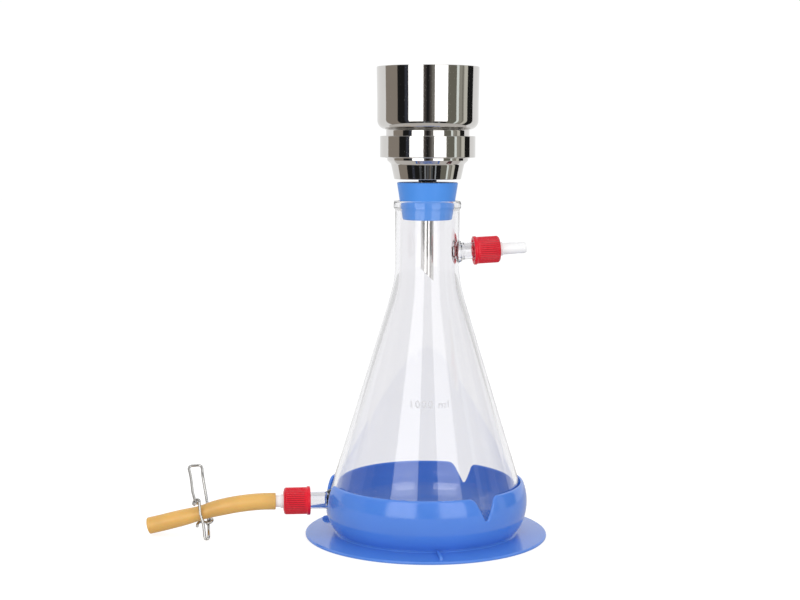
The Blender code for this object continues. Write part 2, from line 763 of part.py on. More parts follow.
def main():
    clear_scene()
    parts = new_collection("vacuum_filter_flask")
    cutters = new_collection("cutters")
    steel = material("polished_steel", (0.62, 0.61, 0.60), 0.12, metallic=1.0)
    blue = material("blue_stand_plastic", (0.10, 0.24, 0.72), 0.35)
    glass = material("clear_glass", (0.95, 0.96, 0.97), 0.02, transmission=1.0)
    seal = material("white_silicone", (0.86, 0.86, 0.84), 0.5)
    fittings = {
        "cap": material("red_cap_plastic", (0.72, 0.02, 0.04), 0.4),
        "seal": seal,
        "connector": material("white_connector_plastic", (0.88, 0.88, 0.87), 0.4),
    }
    stack = {
        "frit": material("sintered_steel", (0.40, 0.39, 0.38), 0.6, metallic=1.0),
        "seal": seal,
        "membrane": material("white_membrane", (0.92, 0.92, 0.90), 0.8),
        "gasket": material("ptfe_gasket", (0.90, 0.90, 0.90), 0.45),
    }
    make_stand(parts, cutters, blue)
    make_flask(parts, cutters, glass)
    upper = ("upper", fittings, UPPER_CAP_START, (0, 0, UPPER_ARM_Z), UPPER_ARM_TILT)
    lower = ("lower", fittings, LOWER_CAP_START, (0, 0, LOWER_ARM_Z), math.pi)
    for side, finishes, start, origin, tilt in (upper, lower):
        make_fittings(parts, cutters, side, finishes, start, origin, tilt)
    make_hose(parts, cutters, material("amber_hose_rubber", (0.72, 0.45, 0.12), 0.45))
    make_clip(parts, material("nickelled_wire", (0.66, 0.65, 0.63), 0.25, metallic=1.0))
    make_stopper(parts, material("blue_stopper_rubber", (0.07, 0.28, 0.78), 0.5))
    make_stem(parts, cutters, steel)
    make_washer(parts, material("black_rubber", (0.02, 0.02, 0.022), 0.5))
    make_base(parts, cutters, steel)
    flange_bottom = make_filter_stack(parts, stack)
    flange_top = flange_bottom + 1.9
    make_ring(parts, cutters, steel, flange_top)
    make_cup(parts, steel, flange_bottom, flange_top)


main()
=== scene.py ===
"""The look of the vacuum filtration flask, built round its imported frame.

Shapes are made in millimetres, in the frame's own axes: the origin is the centre of the stand's
underside, +Z is up, the vacuum arm points along +X and the drain arm along -X.
"""

import math

import bmesh
import bpy
from mathutils import Matrix, Vector
from mathutils.geometry import delaunay_2d_cdt


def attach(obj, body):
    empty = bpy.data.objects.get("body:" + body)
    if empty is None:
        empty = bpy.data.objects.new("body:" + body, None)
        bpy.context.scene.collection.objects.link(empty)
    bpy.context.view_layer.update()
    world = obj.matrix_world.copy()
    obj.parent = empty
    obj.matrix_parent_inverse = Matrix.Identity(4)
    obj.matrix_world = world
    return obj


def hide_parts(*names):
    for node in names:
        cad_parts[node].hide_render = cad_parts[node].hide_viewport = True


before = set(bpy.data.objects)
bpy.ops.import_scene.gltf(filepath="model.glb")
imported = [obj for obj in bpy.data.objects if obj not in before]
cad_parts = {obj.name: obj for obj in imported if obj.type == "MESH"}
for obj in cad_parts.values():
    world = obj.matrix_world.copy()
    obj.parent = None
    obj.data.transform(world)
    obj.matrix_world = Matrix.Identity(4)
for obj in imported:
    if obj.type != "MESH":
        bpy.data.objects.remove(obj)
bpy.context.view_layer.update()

MM = 0.001

# Stand
FOOT_RADIUS = 82.9
FOOT_THICKNESS = 1.7
HUB_RADIUS = 61.9
HUB_Z = 3.4
BOWL_RADIUS = 69.4
BOWL_WIDEST_Z = 24.0
BOWL_FLOOR_RADIUS = 54.0
BOWL_FLOOR_Z = 3.2
BOWL_FULLNESS = 2.05
BOWL_RIM_Z = 37.4
BOWL_RIM_RADIUS = 66.6
BOWL_WALL = 2.0
SPLIT_Z = 12.0  # the stand is turned below this height, and cut from a flat pattern above it
COLUMNS = 180
NOTCH_ANGLES = (178.0, 298.0, 418.0)
SEAM_ANGLE = 118.0
RIB_ANGLES = (-90.0, 30.0, 150.0)
# One side of each notch, from the rim down: distance from the notch's middle, z, fillet radius
ARM_NOTCH = ((15.9, BOWL_RIM_Z, 3.0), (13.9, 25.6, 5.0), (7.7, 16.6, 4.0))
PLAIN_NOTCH = ((8.6, BOWL_RIM_Z, 6.4), (0.9, 22.2, 0.7))

# Flask
BASE_RADIUS = 66.8
BASE_Z = 3.5
BASE_CORNER = 20.9
CONE_ANGLE = math.radians(17.0)
CONE_TOP_Z = 160.0
NECK_RADIUS = 21.8
NECK_START_Z = 185.0
GLASS_WALL = 3.0
MOUTH_Z = 229.2
BEAD_RADIUS = 22.9
BEAD_HEIGHT = 5.5
MOUTH_BORE = 19.1
MARK_SIZE = 7.0
MARK_Z = 95.1
MARK_ANGLE = -95.1
MARK_LIFT = 0.06  # the letters stand this far off the cone

# Side arms and their fittings
UPPER_ARM_Z = 193.5
UPPER_ARM_TILT = math.radians(3.2)
LOWER_ARM_Z = 24.4
UPPER_CAP_START = 31.6
LOWER_CAP_START = 79.8
UPPER_ARM_ROOT = 19.6
LOWER_ARM_ROOT = 63.6
ARM_RADIUS = 5.7
ARM_FLARE_RADIUS = 7.3
ARM_BORE = 4.0
ARM_CORE = 6.2
ARM_CREST = 7.0
ARM_RIM = 12.0
ARM_PITCH = 2.5
CAP_LENGTH = 18.2
CAP_RADIUS = 9.15
CAP_LIP_RADIUS = 9.75
CAP_RIBS = 40
CAP_RIB_DEPTH = 0.42

# Hose and clip
HOSE_RADIUS = 5.7
HOSE_BORE = 3.5
HOSE_SOCKET_RADIUS = 4.3
HOSE_SOCKET_RINGS = 13
HOSE_PINCH = 0.86
HOSE_PINCH_X = -154.0
HOSE_PINCH_SPREAD = 9.0
HOSE_ROUTE = (
    (-103.3, 0.0, 24.4),
    (-112.0, 0.2, 24.4),
    (-122.0, 0.9, 23.6),
    (-133.0, 2.1, 21.9),
    (-143.7, 3.7, 19.4),
    (-151.2, 5.0, 17.1),
    (-157.2, 6.3, 15.1),
    (-165.3, 8.0, 12.8),
    (-173.4, 9.8, 10.5),
    (-181.5, 11.6, 8.2),
    (-189.6, 13.4, 6.1),
)
CLIP_WIRE = 0.95
CLIP_EYE = 2.25
CLIP_TOP = Vector((-157.0, -0.6, 25.0))
CLIP_FOOT = Vector((-148.3, 9.2, 9.2))
CLIP_AXIS = (CLIP_FOOT - CLIP_TOP).normalized()

# Stem and funnel
STEM_RADIUS = 4.45
STEM_BORE = 3.5
STEM_TIP_Z = 174.6
STEM_TOP_Z = 250.4
STEM_HOLE = 4.75  # the stopper, the washer and the funnel's base are bored to this radius
RING_PITCH = 3.0
RING_THREAD_TURNS = 1.7


# ---------------- finishes


def noise(tree, source, scale, detail=3.0, stretch=(1.0, 1.0, 1.0)):
    """A noise texture's value, on object coordinates stretched along each axis."""
    mapping = tree.nodes.new("ShaderNodeMapping")
    mapping.inputs["Scale"].default_value = stretch
    tree.links.new(source, mapping.inputs["Vector"])
    texture = tree.nodes.new("ShaderNodeTexNoise")
    texture.inputs["Scale"].default_value = scale
    texture.inputs["Detail"].default_value = detail
    tree.links.new(mapping.outputs["Vector"], texture.inputs["Vector"])
    return texture.outputs["Fac"]


def surface(
    name,
    colour,
    roughness,
    shade=0.9,
    patch=30.0,
    rough_range=0.05,
    grain=700.0,
    grain_stretch=(1.0, 1.0, 1.0),
    bump=0.1,
    depth=0.00005,
    **constants,
):
    """A finish whose colour and roughness drift in soft patches, with a fine grain as bump."""
    made = bpy.data.materials.new(name)
    made.use_nodes = True
    tree = made.node_tree
    shader = tree.nodes["Principled BSDF"]
    spot = tree.nodes.new("ShaderNodeTexCoord").outputs["Object"]
    patches = noise(tree, spot, patch)
    mix = tree.nodes.new("ShaderNodeMix")
    mix.data_type = "RGBA"
    mix.inputs["A"].default_value = (*(c * shade for c in colour), 1.0)
    mix.inputs["B"].default_value = (*colour, 1.0)
    spread = tree.nodes.new("ShaderNodeMapRange")
    spread.inputs["From Min"].default_value = 0.35
    spread.inputs["From Max"].default_value = 0.65
    tree.links.new(patches, spread.inputs["Value"])
    tree.links.new(spread.outputs["Result"], mix.inputs["Factor"])
    tree.links.new(mix.outputs["Result"], shader.inputs["Base Color"])
    grains = noise(tree, spot, grain, 6.0, grain_stretch)
    rough = tree.nodes.new("ShaderNodeMapRange")
    rough.inputs["From Min"].default_value = 0.3
    rough.inputs["From Max"].default_value = 0.7
    rough.inputs["To Min"].default_value = max(0.0, roughness - rough_range)
    rough.inputs["To Max"].default_value = roughness + rough_range
    tree.links.new(noise(tree, spot, patch * 6, 5.0, grain_stretch), rough.inputs["Value"])
    if roughness > 0.0:
        tree.links.new(rough.outputs["Result"], shader.inputs["Roughness"])
    relief = tree.nodes.new("ShaderNodeBump")
    relief.inputs["Strength"].default_value = bump
    relief.inputs["Distance"].default_value = depth
    tree.links.new(grains, relief.inputs["Height"])
    tree.links.new(relief.outputs["Normal"], shader.inputs["Normal"])
    shader.inputs["Roughness"].default_value = roughness
    for socket, value in constants.items():
        shader.inputs[socket.replace("_", " ")].default_value = value
    made.diffuse_color = (*colour, 1.0)
    return made


STEEL = surface(
    "polished_steel",
    (0.66, 0.645, 0.625),
    0.055,
    shade=0.96,
    rough_range=0.03,
    grain=60.0,
    grain_stretch=(1.0, 1.0, 40.0),
    bump=0.05,
    depth=0.00002,
    Metallic=1.0,
)
BLUE = surface(
    "blue_stand_plastic",
    (0.078, 0.225, 0.69),
    0.13,
    shade=0.95,
    grain=90.0,
    bump=0.06,
    Specular_IOR_Level=0.62,
    Subsurface_Weight=0.12,
    Subsurface_Radius=(0.4, 0.7, 1.0),
    Subsurface_Scale=0.003,
)
GLASS = surface(
    "clear_glass",
    (0.935, 0.933, 0.945),
    0.0,
    shade=0.995,
    grain=22.0,
    bump=0.012,
    depth=0.0004,
    Transmission_Weight=1.0,
    IOR=1.47,
)
RED = surface(
    "red_cap_plastic",
    (0.74, 0.006, 0.024),
    0.3,
    shade=0.92,
    grain=900.0,
    Specular_IOR_Level=0.35,
)


def paint_groove_shade(material, radius, depth, darkest):
    """Paints shade into grooves of this depth cut into a shape turned to this radius, by lowering
    their colour.
    """
    tree = material.node_tree
    shader = tree.nodes["Principled BSDF"]
    where = tree.nodes.new("ShaderNodeTexCoord")
    flat = tree.nodes.new("ShaderNodeVectorMath")
    flat.operation = "MULTIPLY"
    flat.inputs[1].default_value = (1.0, 1.0, 0.0)
    reach = tree.nodes.new("ShaderNodeVectorMath")
    reach.operation = "LENGTH"
    away = tree.nodes.new("ShaderNodeMath")
    away.operation = "SUBTRACT"
    away.inputs[1].default_value = (radius - depth) * MM
    size = tree.nodes.new("ShaderNodeMath")
    size.operation = "ABSOLUTE"
    shade = tree.nodes.new("ShaderNodeMapRange")
    shade.inputs["From Max"].default_value = 0.8 * depth * MM
    shade.inputs["To Min"].default_value = darkest
    tinted = tree.nodes.new("ShaderNodeVectorMath")
    tinted.operation = "SCALE"
    before = shader.inputs["Base Color"].links[0].from_socket
    for first, second in (
        (where.outputs["Object"], flat.inputs[0]),
        (flat.outputs[0], reach.inputs[0]),
        (reach.outputs["Value"], away.inputs[0]),
        (away.outputs[0], size.inputs[0]),
        (size.outputs[0], shade.inputs["Value"]),
        (before, tinted.inputs[0]),
        (shade.outputs["Result"], tinted.inputs["Scale"]),
        (tinted.outputs[0], shader.inputs["Base Color"]),
    ):
        tree.links.new(first, second)


# Painted shade: the red cap's colour is darkened down in its rib grooves
paint_groove_shade(RED, CAP_RADIUS, CAP_RIB_DEPTH, 0.5)
WHITE = surface("white_connector_plastic", (0.87, 0.87, 0.87), 0.32, shade=0.96, grain=800.0)
SILICONE = surface("white_silicone", (0.80, 0.80, 0.78), 0.5, grain=1200.0)
AMBER = surface(
    "amber_hose_rubber",
    (0.74, 0.43, 0.115),
    0.42,
    shade=0.86,
    patch=45.0,
    grain=260.0,
    bump=0.2,
    Subsurface_Weight=0.35,
    Subsurface_Radius=(1.0, 0.5, 0.2),
    Subsurface_Scale=0.004,
)
WIRE = surface(
    "nickelled_wire", (0.62, 0.61, 0.59), 0.16, shade=0.85, patch=300.0, Metallic=1.0
)
STOPPER = surface(
    "blue_stopper_rubber",
    (0.055, 0.26, 0.76),
    0.46,
    shade=0.93,
    grain=1500.0,
    bump=0.25,
    Sheen_Weight=0.08,
)
# Painted shade: a near-black colour for the washer, standing in for the shade in the gap under the
# funnel seat
WASHER_SHADE = surface("black_rubber", (0.012, 0.012, 0.013), 0.5, grain=1500.0, bump=0.2)
FRIT = surface(
    "sintered_steel", (0.36, 0.35, 0.34), 0.55, grain=2600.0, bump=0.9, Metallic=1.0
)
MEMBRANE = surface("white_membrane", (0.88, 0.88, 0.86), 0.8, grain=2200.0, bump=0.3)
PTFE = surface("ptfe_gasket", (0.86, 0.86, 0.86), 0.4)
PRINT = surface("enamel_print", (0.60, 0.60, 0.62), 0.6, grain=3000.0, bump=0.3)


# ---------------- making pieces


def rounded(corners, steps=4):
    """Points of an open outline through (x, y) or (x, y, fillet radius) corners."""
    points = []
    for i, corner in enumerate(corners):
        here = Vector(corner[:2])
        fillet = corner[2] if len(corner) > 2 else 0.0
        if not fillet:
            points.append(here)
            continue
        before = (Vector(corners[i - 1][:2]) - here).normalized()
        after = (Vector(corners[(i + 1) % len(corners)][:2]) - here).normalized()
        half = before.angle(after) / 2
        centre = here + (before + after).normalized() * (fillet / math.sin(half))
        start = here + before * (fillet / math.tan(half)) - centre
        end = here + after * (fillet / math.tan(half)) - centre
        turn = start.angle_signed(end)
        for step in range(steps + 1):
            points.append(centre + Matrix.Rotation(-turn * step / steps, 2) @ start)
    return [tuple(point) for point in points]


def arm_place(origin_z, tilt):
    """Puts a shape turned about Z onto an arm: tilt is the arm's angle above +X."""
    turn = Matrix.Rotation(math.pi / 2 - tilt, 4, "Y")
    return Matrix.Translation((0, 0, origin_z * MM)) @ turn


UPPER = arm_place(UPPER_ARM_Z, UPPER_ARM_TILT)
LOWER = arm_place(LOWER_ARM_Z, math.pi)


def mesh_from(name, shape, finish, crease=38.0):
    """An object from a bmesh that it frees, smooth but for edges sharper than the crease."""
    bmesh.ops.recalc_face_normals(shape, faces=shape.faces)
    mesh = bpy.data.meshes.new(name)
    shape.to_mesh(mesh)
    shape.free()
    mesh.shade_smooth()
    mesh.set_sharp_from_angle(angle=math.radians(crease))
    obj = bpy.data.objects.new(name, mesh)
    bpy.context.scene.collection.objects.link(obj)
    if finish:
        mesh.materials.append(finish)
    return obj


def even_normals(obj):
    """Lets the large faces beside a small fillet stay flat in the shading."""
    weighted = obj.modifiers.new("Normals", "WEIGHTED_NORMAL")
    weighted.keep_sharp = True
    return obj


def lathe_shape(outline, steps=128, closed=True, ripple=None):
    """A bmesh turned about Z from (radius, z). Ripple is (count, depth, low z, high z)."""
    shape = bmesh.new()
    rings = []
    for radius, z in outline:
        if radius < 1e-6:
            rings.append([shape.verts.new((0, 0, z * MM))])
            continue
        ring = []
        for step in range(steps):
            angle = 2 * math.pi * step / steps
            here = radius
            if ripple and ripple[2] <= z <= ripple[3]:
                here -= ripple[1] * (0.5 - 0.5 * math.cos(ripple[0] * angle)) ** 2
            spot = (here * MM * math.cos(angle), here * MM * math.sin(angle), z * MM)
            ring.append(shape.verts.new(spot))
        rings.append(ring)
    pairs = list(zip(rings, rings[1:]))
    if closed:
        pairs.append((rings[-1], rings[0]))
    for first, second in pairs:
        for i in range(steps):
            j = (i + 1) % steps
            corners = [first[i % len(first)], first[j % len(first)]]
            corners += [second[j % len(second)], second[i % len(second)]]
            unique = list(dict.fromkeys(corners))
            if len(unique) > 2:
                shape.faces.new(unique)
    return shape


def skin(shape, rings, capped=True):
    """Faces between neighbouring rings of one count, and over the first and last ring."""
    count = len(rings[0])
    for first, second in zip(rings, rings[1:]):
        for i in range(count):
            j = (i + 1) % count
            shape.faces.new((first[i], first[j], second[j], second[i]))
    if capped:
        shape.faces.new(rings[0])
        shape.faces.new(rings[-1])


def turned(name, outline, finish, steps=128, closed=True, where=None, ripple=None, crease=38.0):
    obj = mesh_from(name, lathe_shape(outline, steps, closed, ripple), finish, crease)
    if where:
        obj.matrix_world = where
    return even_normals(obj)


def smooth_route(points, per_span=4):
    """Points along a smooth (Catmull-Rom) curve through the given ones."""
    route = [Vector(point) for point in points]
    route = [2 * route[0] - route[1]] + route + [2 * route[-1] - route[-2]]
    found = []
    for before, start, end, after in zip(route, route[1:], route[2:], route[3:]):
        for step in range(per_span):
            t = step / per_span
            bend = 2 * before - 5 * start + 4 * end - after
            twist = 3 * start - before - 3 * end + after
            found.append((2 * start + (end - before) * t + bend * t**2 + twist * t**3) / 2)
    return found + [route[-2]]


def frames_along(route):
    """A tangent and two steady side directions at each point of a route."""
    side = Vector((0, 0, 1)).cross(route[1] - route[0]).normalized()
    found = []
    for i in range(len(route)):
        ahead = route[min(i + 1, len(route) - 1)] - route[max(i - 1, 0)]
        tangent = ahead.normalized()
        side = (side - tangent * side.dot(tangent)).normalized()
        found.append((tangent, side, tangent.cross(side)))
    return found


def swept(name, sections, finish, steps=20, joined=False):
    """A skin over rings: each section is (centre, side, up, radius across, radius up)."""
    shape = bmesh.new()
    rings = []
    for centre, side, up, across, high in sections:
        ring = []
        for step in range(steps):
            angle = 2 * math.pi * step / steps
            spot = centre + side * across * math.cos(angle) + up * high * math.sin(angle)
            ring.append(shape.verts.new(spot * MM))
        rings.append(ring)
    skin(shape, rings + rings[:1] if joined else rings, capped=not joined)
    return mesh_from(name, shape, finish, crease=50.0)


def wire(name, route, radius, finish, steps=14):
    """A round wire along a route, with a small chamfer at each cut end."""
    axes = frames_along(route)
    sections = []
    last = len(route) - 1
    for i, (spot, (tangent, side, up)) in enumerate(zip(route, axes)):
        if i == 0:
            sections.append((spot, side, up, radius * 0.72, radius * 0.72))
            sections.append((spot + tangent * radius * 0.28, side, up, radius, radius))
        elif i == last:
            sections.append((spot - tangent * radius * 0.28, side, up, radius, radius))
            sections.append((spot, side, up, radius * 0.72, radius * 0.72))
        else:
            sections.append((spot, side, up, radius, radius))
    return swept(name, sections, finish, steps)


def join_on(obj, body, slot, *nodes):
    """Rides a finished piece on its body, in place of its CAD nodes."""
    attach(obj, body)
    if nodes:
        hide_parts(*nodes)
    return obj


def apply_boolean(obj, other, operation):
    boolean = obj.modifiers.new(operation.title(), "BOOLEAN")
    boolean.operation = operation
    boolean.object = other
    boolean.solver = "EXACT"
    evaluated = obj.evaluated_get(bpy.context.evaluated_depsgraph_get())
    mesh = bpy.data.meshes.new_from_object(evaluated)
    obj.modifiers.clear()
    obj.data = mesh
    bpy.data.objects.remove(other, do_unlink=True)
    return obj


# ---------------- camera

camera = bpy.data.objects.new("camera", bpy.data.cameras.new("camera"))
bpy.context.scene.collection.objects.link(camera)
camera.data.sensor_width = 36.0
camera.data.lens = 69.6
camera.data.clip_start = 0.01
camera.location = (-0.1332, -1.0395, 0.268)
camera.rotation_euler = (math.radians(84.2), math.radians(-0.2), math.radians(-6.28))
bpy.context.scene.camera = camera


# ---------------- hose and clip


def hose_width(spot):
    """The share of the hose's diameter at a point: the clip's jaws narrow it."""
    away = (spot.x - HOSE_PINCH_X) / HOSE_PINCH_SPREAD
    return 1.0 - (1.0 - HOSE_PINCH) * math.exp(-(away**2))


def make_hose():
    """The hose's outside, its two cut ends and its bore, as one closed skin."""
    route = smooth_route(HOSE_ROUTE, 5)
    axes = frames_along(route)
    outside, inside = [], []
    for spot, (tangent, side, up) in zip(route, axes):
        share = hose_width(spot)
        broad = 1.0 + (1.0 - share) * 0.55
        outside.append((spot, side, up, HOSE_RADIUS * broad, HOSE_RADIUS * share))
        flat = max(0.1, 1.0 - (1.0 - share) * 2.4)
        inside.append((spot, side, up, HOSE_BORE * broad, HOSE_BORE * flat))
    for i in range(HOSE_SOCKET_RINGS):
        spot, side, up, _, _ = inside[i]
        inside[i] = (spot, side, up, HOSE_SOCKET_RADIUS, HOSE_SOCKET_RADIUS)
    edge = 0.35

    def lip(index, inward):
        spot, side, up, across, high = outside[index]
        tangent = axes[index][0] * inward
        return [
            (spot + tangent * edge, side, up, across, high),
            (spot + tangent * edge * 0.3, side, up, across - edge * 0.3, high - edge * 0.3),
            (spot, side, up, across - edge, high - edge),
        ]

    start = lip(0, 1.0)
    end = lip(-1, -1.0)
    sections = start[::-1] + outside[1:-1] + end + inside[::-1]
    hose = swept("drain_hose_tube", sections, AMBER, steps=40, joined=True)
    return hose, route


hose, hose_route = make_hose()


def eye(centre, start, sweep, rise=0.0):
    """Points round a coil about the clip's pivot line, with angles in degrees."""
    side = CLIP_AXIS.cross(Vector((0, 0, 1))).normalized()
    up = side.cross(CLIP_AXIS)
    steps = round(abs(sweep) / 12)
    found = []
    for step in range(steps + 1):
        angle = math.radians(start + sweep * step / steps)
        out = CLIP_EYE * (side * math.cos(angle) + up * math.sin(angle))
        found.append(centre + out + CLIP_AXIS * rise * (step / steps - 0.5))
    return found


def spring_wire_route():
    """From the upper eye down in front of the hose, round the foot, the lower eye, the jaw."""
    route = eye(CLIP_TOP, 277, -260)
    route += smooth_route([(-154.4, -3.2, 17.5), (-152.4, -5.2, 11.0), (-151.4, -8.6, 3.2)], 5)
    route += smooth_route([(-151.0, -9.4, 1.7), (-149.4, -9.4, 1.6)], 3)
    route += smooth_route([(-148.7, -8.4, 3.0), (-148.8, -3.0, 5.0), (-149.0, 4.4, 6.2)], 5)
    route += eye(CLIP_FOOT, 262, -372, rise=-2.4)
    route += smooth_route([(-152.6, 8.9, 9.1), (-155.3, 7.4, 9.1), (-156.6, 5.6, 8.2)], 4)
    route += [Vector((-156.8, 4.6, 6.4))]
    return route


def bail_route():
    """A pin through the upper eye, the long loop behind the hose, a pin through the lower eye."""
    route = [CLIP_TOP + CLIP_AXIS * along for along in (2.0, 0.0, -2.4)]
    route += smooth_route([(-159.6, 5.0, 30.8), (-161.0, 15.5, 38.8), (-162.4, 21.6, 43.4)], 3)
    route += [Vector(spot) for spot in ((-162.1, 22.6, 44.6), (-160.6, 23.0, 45.2))]
    route += [Vector(spot) for spot in ((-155.4, 23.2, 45.5), (-153.9, 22.8, 44.9))]
    route += smooth_route([(-153.3, 21.6, 43.4), (-152.8, 17.2, 38.8), (-150.6, 13.0, 26.0)], 4)
    route += [Vector((-149.4, 11.8, 17.0))]
    return route + [CLIP_FOOT + CLIP_AXIS * along for along in (-2.6, 0.0, 2.0)]


spring_wire = wire("clip_spring", spring_wire_route(), CLIP_WIRE, WIRE)
bail_wire = wire("clip_bail", bail_route(), CLIP_WIRE, WIRE)
join_on(hose, "lower_connector", "amber_hose_rubber", "drain_hose")
join_on(spring_wire, "lower_connector", "nickelled_wire", "clip_spring_wire")
join_on(bail_wire, "clip_bail", "nickelled_wire", "clip_bail_wire")


# ---------------- stand


def bowl_radius(z, inset):
    """The bowl wall's radius at a height, on its outer face or `inset` inside it."""
    full = BOWL_RADIUS - inset
    if z >= BOWL_WIDEST_Z:
        drop = BOWL_RIM_Z - BOWL_WIDEST_Z
        lean_in = BOWL_RADIUS - BOWL_RIM_RADIUS
        arc = (drop**2 + lean_in**2) / (2 * lean_in)
        return full - arc + math.sqrt(arc**2 - (z - BOWL_WIDEST_Z) ** 2)
    floor_z = BOWL_FLOOR_Z if inset else 0.0
    down = min(1.0, (BOWL_WIDEST_Z - z) / (BOWL_WIDEST_Z - floor_z))
    across = (1.0 - down**BOWL_FULLNESS) ** (1.0 / BOWL_FULLNESS)
    return BOWL_FLOOR_RADIUS + (full - BOWL_FLOOR_RADIUS) * across


def rim_path():
    """The rim with its three notches, unrolled to (arc length at the rim, z), in millimetres."""
    unroll = math.radians(BOWL_RADIUS)
    corners = [(SEAM_ANGLE * unroll, BOWL_RIM_Z)]
    for angle in NOTCH_ANGLES:
        side = ARM_NOTCH if angle == NOTCH_ANGLES[0] else PLAIN_NOTCH
        centre = angle * unroll
        corners += [(centre - x, z, fillet) for x, z, fillet in side]
        corners += [(centre + x, z, fillet) for x, z, fillet in reversed(side)]
    corners.append(((SEAM_ANGLE + 360) * unroll, BOWL_RIM_Z))
    sharp = [Vector(point) for point in rounded(corners, 8)]
    step = math.radians(360 / COLUMNS) * BOWL_RADIUS
    path = [sharp[0]]
    for start, end in zip(sharp, sharp[1:]):
        if abs(start.y - end.y) < 1e-6 and abs(end.x - start.x) > step:
            column = math.floor(start.x / step + 1e-6) + 1
            while column * step < end.x - 0.3:
                if column * step > start.x + 0.3:
                    path.append(Vector((column * step, start.y)))
                column += 1
        else:
            parts = max(1, round((end - start).length / 1.2))
            path += [start.lerp(end, part / parts) for part in range(1, parts)]
        path.append(end)
    return path


def inward(path, distance):
    """The path moved into the wall, below and beside it."""
    moved = []
    for i, point in enumerate(path):
        along = path[min(i + 1, len(path) - 1)] - path[max(i - 1, 0)]
        if i in (0, len(path) - 1):
            along = Vector((1.0, 0.0))
        along.normalize()
        moved.append(point + Vector((along.y, -along.x)) * distance)
    return moved


